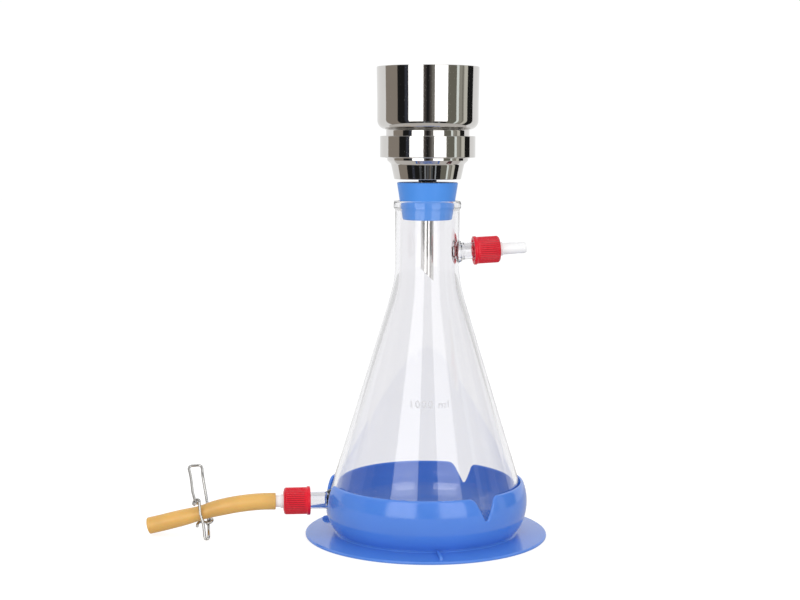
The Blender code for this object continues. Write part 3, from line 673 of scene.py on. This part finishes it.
def make_stand():
    """Bowl and foot in one skin: a flat pattern with its notches above, turned rows below."""
    path = rim_path()
    unroll = math.radians(BOWL_RADIUS)
    points, fullness, edges = [], [], []

    def add_row(row, share):
        first = len(points)
        points.extend(row)
        fullness.extend([share] * len(row))
        edges.extend((first + i, first + i + 1) for i in range(len(row) - 1))
        return first

    turns = (0.0, 22.5, 45.0, 67.5, 90.0)
    half_wall = BOWL_WALL / 2
    starts = []
    for degrees in turns:
        turn = math.radians(degrees)
        starts.append(add_row(inward(path, half_wall * (1 - math.cos(turn))), math.sin(turn)))
    columns = [SEAM_ANGLE + 360 * i / COLUMNS for i in range(COLUMNS + 1)]
    floor_row = add_row([Vector((angle * unroll, SPLIT_Z)) for angle in columns], 1.0)
    levels = [SPLIT_Z + 2.3 * i for i in range(1, 11)]
    for column, angle in enumerate(columns):
        x = angle * unroll
        near = [p for p in path if abs(p.x - x) < 20] or path
        for z in levels:
            spot = Vector((x, z))
            top = min(near, key=lambda p: abs(p.x - x)).y
            clear = min((p - spot).length for p in near)
            if z < top and clear > half_wall + 0.7:
                points.append(spot)
                fullness.append(1.0)
    above = [i for i, point in enumerate(points) if point.y > SPLIT_Z]
    for seam, corner in ((columns[0], floor_row), (columns[-1], floor_row + COLUMNS)):
        side = [corner] + [i for i in above if abs(points[i].x - seam * unroll) < 1e-4]
        order = sorted(side, key=lambda i: points[i].y)
        edges.extend(zip(order, order[1:]))
    found, _, faces, origins, _, _ = delaunay_2d_cdt(points, edges, [], 1, 1e-5)
    shape = bmesh.new()
    outer, inner = [], []
    for spot, source in zip(found, origins):
        share = fullness[source[0]] if source else 1.0
        angle = spot.x / BOWL_RADIUS
        radii = bowl_radius(spot.y, 0.0), bowl_radius(spot.y, BOWL_WALL)
        middle, half = (radii[0] + radii[1]) / 2, (radii[0] - radii[1]) / 2 * share
        around = Vector((math.cos(angle), math.sin(angle), 0.0))
        lift = Vector((0, 0, spot.y))
        outer.append(shape.verts.new((around * (middle + half) + lift) * MM))
        if share < 1e-6:
            inner.append(outer[-1])
        else:
            inner.append(shape.verts.new((around * (middle - half) + lift) * MM))
    for corners in faces:
        shape.faces.new([outer[i] for i in corners])
        shape.faces.new([inner[i] for i in reversed(corners)])
    foot = rounded(
        [
            (HUB_RADIUS, HUB_Z, 0.35),
            (HUB_RADIUS + 1.1, HUB_Z - 0.95, 0.5),
            (FOOT_RADIUS - 0.9, FOOT_THICKNESS + 0.02, 0.5),
            (FOOT_RADIUS, FOOT_THICKNESS - 0.55, 0.45),
            (FOOT_RADIUS, 0.25),
            (FOOT_RADIUS - 0.25, 0.0),
            (0.0, 0.0),
        ],
        3,
    )[1:]
    down = (10.2, 8.4, 6.8, 5.5, 4.4, 3.7)
    outside = [(bowl_radius(SPLIT_Z, 0.0), SPLIT_Z)] + [(bowl_radius(z, 0.0), z) for z in down]
    outside += [(FOOT_RADIUS - 20.45, 3.42)] + foot
    floor = (10.2, 8.4, 6.8, 5.6, 4.6, 3.9, 3.4)
    inside = [(bowl_radius(SPLIT_Z, BOWL_WALL), SPLIT_Z)]
    inside += [(bowl_radius(z, BOWL_WALL), z) for z in floor]
    flat = (BOWL_FLOOR_RADIUS, BOWL_FLOOR_RADIUS - 3, 0.0)
    inside += [(radius, BOWL_FLOOR_Z) for radius in flat]
    for rows in (outside, inside):
        rings = []
        for radius, z in rows:
            if radius < 1e-6:
                rings.append([shape.verts.new((0, 0, z * MM))])
                continue
            ring = []
            for column in range(COLUMNS):
                angle = math.radians(columns[column])
                spot = (radius * math.cos(angle) * MM, radius * math.sin(angle) * MM, z * MM)
                ring.append(shape.verts.new(spot))
            rings.append(ring)
        for first, second in zip(rings, rings[1:]):
            for i in range(COLUMNS):
                j = (i + 1) % COLUMNS
                corners = [first[i], first[j], second[j % len(second)], second[i % len(second)]]
                shape.faces.new(list(dict.fromkeys(corners)))
    bmesh.ops.remove_doubles(shape, verts=shape.verts, dist=2e-6)
    stand = mesh_from("stand_bowl", shape, BLUE, crease=50.0)
    for angle in RIB_ANGLES:
        rib = bmesh.new()
        profile = rounded([(-1.0, 1.2), (-1.0, 4.4, 0.5), (1.0, 4.4, 0.5), (1.0, 1.2)], 3)
        rings = []
        for x, drop in ((59.0, 0.0), (76.6, 0.0), (78.3, 0.5), (79.2, 1.3), (79.4, 2.2)):
            ring = [rib.verts.new((x * MM, y * MM, max(1.2, z - drop) * MM)) for y, z in profile]
            rings.append(ring)
        skin(rib, rings)
        bmesh.ops.transform(
            rib, matrix=Matrix.Rotation(math.radians(angle), 4, "Z"), verts=rib.verts
        )
        piece = mesh_from(f"stand_rib_{round(angle) % 360}", rib, BLUE)
        join_on(piece, "root", "blue_stand_plastic")
    return stand


stand = make_stand()
join_on(stand, "root", "blue_stand_plastic", "flask_stand")


# ---------------- flask


def flask_wall(inset, top, floor):
    """The glass from the neck down, `inset` inside its outer face: neck, flare, cone, base."""
    slope = math.tan(CONE_ANGLE)
    corner = BASE_CORNER - inset
    centre_z = BASE_Z + BASE_CORNER
    centre_r = BASE_RADIUS - BASE_CORNER
    cone_foot_r = centre_r + BASE_CORNER / math.cos(CONE_ANGLE)
    neck = NECK_RADIUS - inset
    cone_top_r = cone_foot_r - inset / math.cos(CONE_ANGLE) - (CONE_TOP_Z - centre_z) * slope
    points = [(neck, top), (neck, NECK_START_Z + 8.0), (neck, NECK_START_Z)]
    flare = 12
    for step in range(1, flare):
        along = step / flare
        bend_z = NECK_START_Z - (NECK_START_Z - CONE_TOP_Z) * along
        bend = (cone_top_r - neck) * along**2 * (1.35 - 0.35 * along)
        points.append((neck + bend, bend_z))
    cone_start = Vector((cone_top_r, CONE_TOP_Z))
    cone_end = Vector(
        (centre_r + corner * math.cos(CONE_ANGLE), centre_z + corner * math.sin(CONE_ANGLE))
    )
    spans = 8
    points += [tuple(cone_start.lerp(cone_end, i / spans)) for i in range(spans)]
    curve = 16
    for step in range(curve + 1):
        angle = CONE_ANGLE - (CONE_ANGLE + math.pi / 2) * step / curve
        points.append((centre_r + corner * math.cos(angle), centre_z + corner * math.sin(angle)))
    return points[:-1] + [(centre_r, floor), (centre_r * 0.5, floor), (0.0, floor)]


def helix(core, crest, pitch, start_z, turns, facets=48):
    """A round thread ridge as a bmesh, fading in and out at its ends."""
    shape = bmesh.new()
    stations = round(turns * facets)
    sunk = core - 0.35 if crest > core else core + 0.35
    flank = ((0.45, -0.21), (0.85, -0.11), (1.0, 0.0), (0.85, 0.11), (0.45, 0.21))
    profile = ((sunk, -0.3), *flank, (sunk, 0.3))
    rings = []
    for i in range(stations + 1):
        angle = 2 * math.pi * (i + 0.5) / facets
        fade = min(1.0, 3.0 * i / facets + 0.1, 3.0 * (stations - i) / facets + 0.1)
        ring = []
        for level, offset in profile:
            radius = level if abs(offset) > 0.25 else core + (crest - core) * level * fade
            height = start_z + pitch * ((i + 0.5) / facets + offset)
            spot = Vector((radius * math.cos(angle), radius * math.sin(angle), height))
            ring.append(shape.verts.new(spot * MM))
        rings.append(ring)
    skin(shape, rings)
    return shape


def make_flask():
    bead = rounded(
        [
            (MOUTH_BORE, MOUTH_Z - BEAD_HEIGHT),
            (MOUTH_BORE, MOUTH_Z, 1.2),
            (BEAD_RADIUS, MOUTH_Z, 1.5),
            (BEAD_RADIUS, MOUTH_Z - 4.9, 1.0),
            (NECK_RADIUS, MOUTH_Z - 6.2, 0.5),
            (NECK_RADIUS, MOUTH_Z - 9.0),
        ],
        5,
    )
    inner = flask_wall(GLASS_WALL, MOUTH_Z - BEAD_HEIGHT - 2.0, BASE_Z + GLASS_WALL)
    outer = flask_wall(0.0, MOUTH_Z - 12.0, BASE_Z)
    outline = inner[::-1] + bead + outer
    flask = mesh_from("flask_glass", lathe_shape(outline, 144, closed=False), GLASS)
    arms = (
        ("upper", UPPER, UPPER_ARM_ROOT, UPPER_CAP_START),
        ("lower", LOWER, LOWER_ARM_ROOT, LOWER_CAP_START),
    )
    for side, where, root, cap_start in arms:
        rim = cap_start + ARM_RIM
        outline = rounded(
            [
                (0.0, rim),
                (ARM_CORE, rim, 0.9),
                (ARM_CORE, cap_start + 1.4, 0.8),
                (ARM_RADIUS, cap_start + 0.6, 0.8),
                (ARM_RADIUS, root + 5.4, 3.0),
                (ARM_FLARE_RADIUS + 0.3, root + 2.6, 1.2),
                (ARM_FLARE_RADIUS + 0.3, root),
                (0.0, root),
            ],
            5,
        )
        arm = mesh_from(side + "_arm", lathe_shape(outline, 48, closed=False), GLASS)
        thread = helix(ARM_CORE, ARM_CREST, ARM_PITCH, cap_start + 2.6, 2.6)
        ridge = mesh_from(side + "_ridge", thread, GLASS)
        bore_end = rim + 5
        bore = [(0, bore_end), (ARM_BORE, bore_end), (ARM_BORE, root - 8), (0, root - 8)]
        hole = mesh_from(side + "_hole", lathe_shape(bore, 40, closed=False), GLASS)
        for obj, operation in ((arm, "UNION"), (ridge, "UNION"), (hole, "DIFFERENCE")):
            obj.matrix_world = where
            apply_boolean(flask, obj, operation)
    flask.data.shade_smooth()
    flask.data.set_sharp_from_angle(angle=math.radians(40))
    return flask


flask = make_flask()
flask.visible_shadow = False  # light reaches what stands in or behind the glass unbent
flask.visible_diffuse = False
join_on(flask, "root", "clear_glass", "flask_body")


def make_mark(text, size):
    """A volume mark printed on the cone: flat letters, laid onto the glass."""
    letters = bpy.data.curves.new("mark", "FONT")
    letters.body = text
    letters.size = size * MM
    letters.align_x = "CENTER"
    letters.space_character = 1.2
    letters.resolution_u = 4
    holder = bpy.data.objects.new("mark", letters)
    bpy.context.scene.collection.objects.link(holder)
    mesh = bpy.data.meshes.new_from_object(
        holder.evaluated_get(bpy.context.evaluated_depsgraph_get())
    )
    bpy.data.objects.remove(holder, do_unlink=True)
    shape = bmesh.new()
    shape.from_mesh(mesh)
    bpy.data.meshes.remove(mesh)
    return shape


def lay_on_cone(name, shape, z, turn):
    """Bends a flat shape, in metres about (0, 0), onto the cone's front at a height and angle."""
    bmesh.ops.triangulate(shape, faces=shape.faces)
    bmesh.ops.subdivide_edges(shape, edges=shape.edges, cuts=1)
    slope = math.tan(CONE_ANGLE)
    cone_foot = BASE_RADIUS - BASE_CORNER + BASE_CORNER / math.cos(CONE_ANGLE)
    for vert in shape.verts:
        height = z + vert.co.y / MM * math.cos(CONE_ANGLE)
        radius = cone_foot - (height - BASE_Z - BASE_CORNER) * slope + MARK_LIFT
        angle = math.radians(turn) + vert.co.x / MM / radius
        vert.co = Vector((radius * math.cos(angle), radius * math.sin(angle), height)) * MM
    obj = mesh_from(name, shape, PRINT)
    return join_on(obj, "root", "clear_glass")


lay_on_cone("volume_mark", make_mark("1000 ml", MARK_SIZE), MARK_Z, MARK_ANGLE)


# ---------------- caps and connectors


def make_cap(side, where, start):
    end = start + CAP_LENGTH
    outline = rounded(
        [
            (5.0, end - 0.2),
            (5.2, end, 0.15),
            (6.6, end, 0.2),
            (6.9, end - 0.35, 0.2),
            (8.2, end - 0.35, 0.2),
            (CAP_RADIUS, end - 1.4, 0.7),
            (CAP_RADIUS, end - 4.0),
            (CAP_RADIUS, start + 4.6),
            (CAP_RADIUS, start + 2.5, 0.25),
            (CAP_LIP_RADIUS, start + 1.9, 0.3),
            (CAP_LIP_RADIUS, start, 0.5),
            (7.65, start, 0.2),
            (7.35, start + 0.8),
            (7.35, end - 1.9, 0.3),
            (5.0, end - 1.9),
        ],
        4,
    )
    ripple = (CAP_RIBS, CAP_RIB_DEPTH, start + 2.75, end - 1.6)
    cap = turned(side + "_cap", outline, RED, CAP_RIBS * 8, True, where, ripple, crease=50.0)
    ridge = mesh_from(side + "_cap_thread", helix(7.35, 6.55, ARM_PITCH, start + 3.85, 2.0), RED)
    ridge.matrix_world = where
    cap.visible_glossy = False  # keeps the cap's red out of the steel and the stand
    join_on(ridge, side + "_cap", "red_cap_plastic")
    return join_on(cap, side + "_cap", "red_cap_plastic", side + "_screw_cap")


def make_fittings(side, where, start):
    body = side + "_connector"
    low = start + ARM_RIM + 0.3
    high = low + 1.8
    seal = rounded([(3.7, high, 0.3), (6.5, high, 0.3), (6.5, low, 0.3), (3.7, low, 0.3)], 3)
    ring = turned(side + "_seal", seal, SILICONE, 64, True, where)
    join_on(ring, body, "white_silicone", side + "_seal_ring")
    flange_low = high + 0.3
    flange_high = start + CAP_LENGTH - 2.2
    collar = start + CAP_LENGTH + 1.8
    end = start + 36.6
    outline = rounded(
        [
            (2.3, end, 0.3),
            (3.35, end, 0.4),
            (4.0, end - 1.5, 0.5),
            (3.78, end - 6.0, 0.8),
            (4.0, end - 10.0, 0.8),
            (4.0, collar + 0.7, 0.5),
            (4.65, collar, 0.35),
            (4.65, flange_high, 0.2),
            (6.9, flange_high, 0.25),
            (6.9, flange_low, 0.25),
            (3.35, flange_low, 0.3),
            (3.35, flange_low - 5.5, 0.3),
            (2.3, flange_low - 5.5),
        ],
        3,
    )
    connector = turned(side + "_nozzle", outline, WHITE, 64, True, where)
    return join_on(connector, body, "white_connector_plastic", side + "_hose_connector")


for side, where, start in (("upper", UPPER, UPPER_CAP_START), ("lower", LOWER, LOWER_CAP_START)):
    make_cap(side, where, start)
    make_fittings(side, where, start)


# ---------------- stopper and stem

stopper_outline = rounded(
    [
        (STEM_HOLE, 241.6, 0.3),
        (20.7, 241.6, 0.8),
        (16.7, 216.3, 0.8),
        (STEM_HOLE, 216.3, 0.3),
    ],
    5,
)
stopper = turned("stopper", stopper_outline, STOPPER, 128)
join_on(stopper, "stopper_and_base", "blue_stopper_rubber", "rubber_stopper")

stem_outline = rounded(
    [
        (STEM_BORE, STEM_TOP_Z, 0.2),
        (STEM_RADIUS, STEM_TOP_Z, 0.2),
        (STEM_RADIUS, STEM_TIP_Z),
        (STEM_BORE, STEM_TIP_Z),
    ],
    3,
)
stem = turned("stem_tube", stem_outline, STEEL, 64)
bevel = bmesh.new()
bmesh.ops.create_cube(bevel, size=0.06)
cutter = mesh_from("stem_cut", bevel, None)
turn = Matrix.Rotation(math.radians(45), 4, "Y")
cutter.matrix_world = (
    Matrix.Translation(Vector((STEM_RADIUS, 0, STEM_TIP_Z)) * MM)
    @ turn
    @ Matrix.Translation((-0.015, 0, -0.03))
)
stem.modifiers.clear()
apply_boolean(stem, cutter, "DIFFERENCE")
stem.data.set_sharp_from_angle(angle=math.radians(35))
join_on(stem, "stopper_and_base", "polished_steel", "outlet_stem")

washer_outline = rounded(
    [
        (STEM_HOLE, 243.4, 0.15),
        (6.15, 243.4, 0.3),
        (6.15, 241.9, 0.3),
        (STEM_HOLE, 241.9, 0.15),
    ],
    3,
)
# The washer carries painted shade: its near-black colour stands for the shadowed gap
washer = turned("washer", washer_outline, WASHER_SHADE, 64)
join_on(washer, "stopper_and_base", "black_rubber", "stem_washer")


# ---------------- filter funnel

base_outline = rounded(
    [
        (24.6, 266.0, 0.2),
        (28.6, 266.0, 0.4),
        (28.6, 257.9, 0.3),
        (27.3, 257.8),
        (27.3, 256.3, 0.35),
        (24.75, 253.9, 2.2),
        (22.55, 243.7, 0.5),
        (STEM_HOLE, 243.7),
        (STEM_HOLE, 251.2),
        (20.5, 260.5, 0.5),
        (20.5, 262.0, 0.2),
        (24.6, 262.0),
    ],
    5,
)
base = turned("funnel_seat", base_outline, STEEL, 160)
join_on(base, "stopper_and_base", "polished_steel", "funnel_base")
base_thread = helix(28.6, 29.6, RING_PITCH, 259.1, RING_THREAD_TURNS, 96)
base_ridge = mesh_from("funnel_seat_thread", base_thread, STEEL)
join_on(base_ridge, "stopper_and_base", "polished_steel")

frit_outline = rounded([(0.0, 265.9), (22.4, 265.9, 0.4), (22.4, 262.3), (0.0, 262.3)], 3)
frit = turned("frit_disc", frit_outline, FRIT, 96, closed=False)
join_on(frit, "stopper_and_base", "sintered_steel", "support_frit")
ring_points = [
    (23.5 + 0.7 * math.cos(a * math.pi / 6), 263.0 - 0.7 * math.sin(a * math.pi / 6))
    for a in range(12)
]
frit_seal = turned("frit_seal", ring_points, SILICONE, 96)
join_on(frit_seal, "stopper_and_base", "white_silicone", "frit_seal_ring")
membrane_outline = rounded([(0.0, 266.7), (25.0, 266.7, 0.15), (25.0, 266.3), (0.0, 266.3)], 3)
membrane = turned("membrane", membrane_outline, MEMBRANE, 96, closed=False)
join_on(membrane, "stopper_and_base", "white_membrane", "membrane_filter")
gasket_outline = rounded(
    [(23.5, 268.2, 0.2), (28.2, 268.2, 0.2), (28.2, 267.0, 0.2), (23.5, 267.0, 0.2)], 3
)
gasket = turned("gasket", gasket_outline, PTFE, 96)
join_on(gasket, "stopper_and_base", "ptfe_gasket", "cup_gasket")

ring_outline = rounded(
    [
        (28.5, 272.7, 0.35),
        (32.15, 272.7, 0.5),
        (32.15, 258.3, 0.5),
        (30.2, 258.3, 0.3),
        (30.2, 270.7),
        (28.5, 270.7),
    ],
    5,
)
lock_ring = turned("collar", ring_outline, STEEL, 160)
join_on(lock_ring, "ring", "polished_steel", "lock_ring")
ring_thread = helix(30.2, 29.2, RING_PITCH, 260.6, RING_THREAD_TURNS, 96)
ring_ridge = mesh_from("collar_thread", ring_thread, STEEL)
join_on(ring_ridge, "ring", "polished_steel")

cup_outline = rounded(
    [
        (32.4, 318.5, 0.4),
        (32.8, 318.8, 0.3),
        (34.55, 318.8, 0.3),
        (34.1, 294.0),
        (34.1, 277.9, 6.2),
        (28.1, 276.9, 1.0),
        (28.1, 270.4),
        (29.8, 270.4, 0.3),
        (29.8, 268.5, 0.3),
        (23.5, 268.5, 0.3),
        (23.5, 277.4, 1.6),
        (32.4, 279.8, 4.8),
    ],
    8,
)
cup = turned("cup", cup_outline, STEEL, 160)
join_on(cup, "cup", "polished_steel", "funnel_cup")


# ---------------- studio

REACH = 1.6
CARD_LOW = -0.9
CARD_HIGH = 1.2
STREAK_HIGH = -0.35
BACKDROP_HIGH = 1.9
SOFTBOX_LOW = -0.12
SOFTBOX_HIGH = 1.05
SOFTBOX_REACH = 1.3
SHINE_REACH = 1.25
SOFTBOX_LIGHT = 1.8
WHITE_LIGHT = (1.0, 1.0, 1.0)
AXIS_TO_CAMERA = Vector((-0.127, -0.992, 0.0))
AXIS_RIGHT = Vector((0.992, -0.127, 0.0))


def toward(degrees, reach, z):
    """A point round the object: degrees to the right of the camera's own direction."""
    angle = math.radians(degrees)
    flat = AXIS_TO_CAMERA * math.cos(angle) + AXIS_RIGHT * math.sin(angle)
    return flat * reach + Vector((0, 0, z))


def glow(name, colour, strength):
    made = bpy.data.materials.new(name)
    made.use_nodes = True
    tree = made.node_tree
    tree.nodes.clear()
    lamp = tree.nodes.new("ShaderNodeEmission")
    lamp.inputs["Color"].default_value = (*colour, 1.0)
    lamp.inputs["Strength"].default_value = strength
    out = tree.nodes.new("ShaderNodeOutputMaterial")
    tree.links.new(lamp.outputs["Emission"], out.inputs["Surface"])
    made.cycles.emission_sampling = "NONE"
    return made


def only_mirrored(obj):
    """A card that is seen in reflections and nowhere else."""
    obj.visible_camera = False
    obj.visible_diffuse = False
    obj.visible_transmission = False
    obj.visible_volume_scatter = False
    obj.visible_shadow = False
    return obj


def card(name, first, last, low, high, colour, strength, reach=REACH):
    """A curved card round the object between two directions and two heights."""
    shape = bmesh.new()
    parts = max(1, round(abs(last - first) / 6))
    columns = []
    for i in range(parts + 1):
        here = first + (last - first) * i / parts
        columns.append([shape.verts.new(toward(here, reach, z)) for z in (low, high)])
    for left, right in zip(columns, columns[1:]):
        shape.faces.new((left[0], right[0], right[1], left[1]))
    obj = mesh_from(name, shape, glow(name, colour, strength))
    return only_mirrored(obj)


card("backdrop", 120.5, 251, CARD_LOW, BACKDROP_HIGH, WHITE_LIGHT, 0.94)
# The room that the steel mirrors, from left to right: name, first and last direction, colour, light
for name, first, last, colour, light in (
    ("left_wall", -109, -71.7, (1.0, 0.88, 0.76), 0.31),
    ("left_shade", -53, -44, (0.70, 0.76, 1.0), 0.065),
    ("centre_1", -10.5, -7.5, (1.0, 0.87, 0.80), 0.13),
    ("centre_2", -7.5, -5, (1.0, 0.87, 0.80), 0.08),
    ("centre_3", -5, -2.5, (1.0, 0.86, 0.86), 0.045),
    ("centre_4", 2, 4.5, (1.0, 0.90, 0.90), 0.045),
    ("centre_5", 4.5, 7, (1.0, 0.92, 0.86), 0.085),
    ("centre_6", 7, 9.5, (1.0, 0.93, 0.84), 0.14),
    ("centre_7", 9.5, 15, (1.0, 0.96, 0.88), 0.23),
    ("right_wall", 45, 66.8, (1.0, 0.98, 0.80), 0.18),
    ("right_line", 66.8, 73.2, (0.93, 1.0, 0.97), 1.0),
    ("right_grey", 73.2, 82.5, (1.0, 0.97, 0.84), 0.36),
    ("right_seam", 82.5, 85, (1.0, 0.97, 0.84), 0.2),
    ("right_shade", 85, 88, (1.0, 0.97, 0.84), 0.36),
    ("right_pale", 88, 99, (1.0, 0.98, 0.88), 0.68),
):
    card(name, first, last, CARD_LOW, CARD_HIGH, colour, light)

# Faint streaks low down, for the faces that look towards the floor
for streak, (middle, half, light) in enumerate(
    ((-24, 3.5, 0.10), (-8, 2.5, 0.30), (1, 3.0, 0.12), (14, 3.5, 0.10), (27, 2.0, 0.45))
):
    name, first, last = f"low_streak_{streak}", middle - half, middle + half
    card(name, first, last, CARD_LOW, STREAK_HIGH, (0.85, 0.92, 1.0), light)


def softbox(name, centre, half):
    """A tall soft light. Its power is set from the brightness it should show."""
    width = 2 * SOFTBOX_REACH * math.tan(math.radians(half))
    height = SOFTBOX_HIGH - SOFTBOX_LOW
    middle = (SOFTBOX_LOW + SOFTBOX_HIGH) / 2
    light = bpy.data.lights.new(name, "AREA")
    light.shape = "RECTANGLE"
    light.size = width
    light.size_y = height
    light.energy = SOFTBOX_LIGHT * width * height * math.pi
    obj = bpy.data.objects.new(name, light)
    bpy.context.scene.collection.objects.link(obj)
    obj.location = toward(centre, SOFTBOX_REACH, middle)
    aim = Vector((0, 0, middle)) - obj.location
    obj.rotation_mode = "QUATERNION"
    obj.rotation_quaternion = aim.to_track_quat("-Z", "Y")
    obj.visible_camera = False


softbox("softbox_left", -27.0, 16.5)
softbox("softbox_right", 30.0, 14.8)

# What reflections show of the two softboxes: a card in front of each
for name, first, last, light in (
    ("shine_left", -43.5, -10.5, 2.5),
    ("shine_right", 15.2, 44.8, 2.1),
):
    shine = card(name, first, last, SOFTBOX_LOW, SOFTBOX_HIGH, WHITE_LIGHT, light, SHINE_REACH)
    shine.visible_transmission = True

ceiling_shape = bmesh.new()
bmesh.ops.create_grid(ceiling_shape, x_segments=1, y_segments=1, size=0.45)
ceiling = mesh_from("ceiling_card", ceiling_shape, glow("ceiling_card", WHITE_LIGHT, 1.3))
ceiling.location.z = 1.5
only_mirrored(ceiling)

# The floor's own glow, and what it gains for rays through glass and from the camera
FLOOR_GLOW = 0.25
FLOOR_THROUGH_GLASS = 0.36
FLOOR_TO_CAMERA = 0.47

floor_shape = bmesh.new()
bmesh.ops.create_grid(floor_shape, x_segments=1, y_segments=1, size=6.0)
floor_material = bpy.data.materials.new("floor")
floor_material.use_nodes = True
floor_tree = floor_material.node_tree
floor_shader = floor_tree.nodes["Principled BSDF"]
floor_shader.inputs["Base Color"].default_value = (0.42, 0.42, 0.43, 1.0)
floor_shader.inputs["Roughness"].default_value = 0.9
floor_shader.inputs["Specular IOR Level"].default_value = 0.0
floor_shader.inputs["Emission Color"].default_value = (1.0, 1.0, 1.0, 1.0)
seen = floor_tree.nodes.new("ShaderNodeLightPath")
floor_base = floor_tree.nodes.new("ShaderNodeMath")
floor_base.operation = "MULTIPLY_ADD"
floor_base.inputs[1].default_value = FLOOR_THROUGH_GLASS
floor_base.inputs[2].default_value = FLOOR_GLOW
floor_tree.links.new(seen.outputs["Is Transmission Ray"], floor_base.inputs[0])
floor_level = floor_tree.nodes.new("ShaderNodeMath")
floor_level.operation = "MULTIPLY_ADD"
floor_level.inputs[1].default_value = FLOOR_TO_CAMERA
floor_tree.links.new(seen.outputs["Is Camera Ray"], floor_level.inputs[0])
floor_tree.links.new(floor_base.outputs[0], floor_level.inputs[2])
floor_tree.links.new(floor_level.outputs[0], floor_shader.inputs["Emission Strength"])
floor_material.cycles.emission_sampling = "NONE"
floor = mesh_from("floor", floor_shape, floor_material)
floor.location.z = -0.0003
floor.visible_glossy = False

disc_shape = bmesh.new()
bmesh.ops.create_circle(disc_shape, cap_ends=True, segments=64, radius=0.38)
disc = mesh_from("floor_mirrored", disc_shape, glow("floor_mirrored", (1.0, 0.96, 0.92), 0.62))
disc.location.z = -0.0002
only_mirrored(disc)

# The world's brightness for each kind of ray
AMBIENT = 0.9
MIRRORED = 0.015
OVERHEAD = 0.5
THROUGH_GLASS = 0.70
INSIDE_GLASS = 0.3
TO_CAMERA = 1.02

world = bpy.data.worlds.new("studio")
bpy.context.scene.world = world
world.use_nodes = True
sky = world.node_tree
background = sky.nodes["Background"]
path = sky.nodes.new("ShaderNodeLightPath")


def blend_value(first, second, share):
    """A blend of two values, each a number or a socket."""
    mix = sky.nodes.new("ShaderNodeMix")
    mix.data_type = "FLOAT"
    for socket, value in (("A", first), ("B", second), ("Factor", share)):
        if isinstance(value, float):
            mix.inputs[socket].default_value = value
        else:
            sky.links.new(value, mix.inputs[socket])
    return mix.outputs["Result"]


def math_value(operation, first, second):
    node = sky.nodes.new("ShaderNodeMath")
    node.operation = operation
    sky.links.new(first, node.inputs[0])
    if isinstance(second, float):
        node.inputs[1].default_value = second
    else:
        sky.links.new(second, node.inputs[1])
    return node.outputs[0]


mirrored_before = math_value("GREATER_THAN", path.outputs["Glossy Depth"], 0.5)
heading = sky.nodes.new("ShaderNodeSeparateXYZ")
sky.links.new(sky.nodes.new("ShaderNodeTexCoord").outputs["Generated"], heading.inputs[0])
overhead = math_value("GREATER_THAN", heading.outputs["Z"], 0.5)
mirrored = blend_value(MIRRORED, OVERHEAD, overhead)
level = blend_value(AMBIENT, mirrored, path.outputs["Is Glossy Ray"])
forward = math_value("LESS_THAN", heading.outputs["Y"], 0.1)
behind_mirror = math_value("MULTIPLY", path.outputs["Is Transmission Ray"], mirrored_before)
behind_mirror = math_value("MULTIPLY", behind_mirror, forward)
level = blend_value(level, THROUGH_GLASS, path.outputs["Is Transmission Ray"])
level = blend_value(level, INSIDE_GLASS, behind_mirror)
level = blend_value(level, TO_CAMERA, path.outputs["Is Camera Ray"])
after_matt = math_value("GREATER_THAN", path.outputs["Diffuse Depth"], 0.5)
level = blend_value(level, AMBIENT, after_matt)
sky.links.new(level, background.inputs["Strength"])
background.inputs["Color"].default_value = (1.0, 1.0, 1.0, 1.0)
world.cycles.sampling_method = "NONE"
bpy.context.scene.view_settings.view_transform = "Standard"
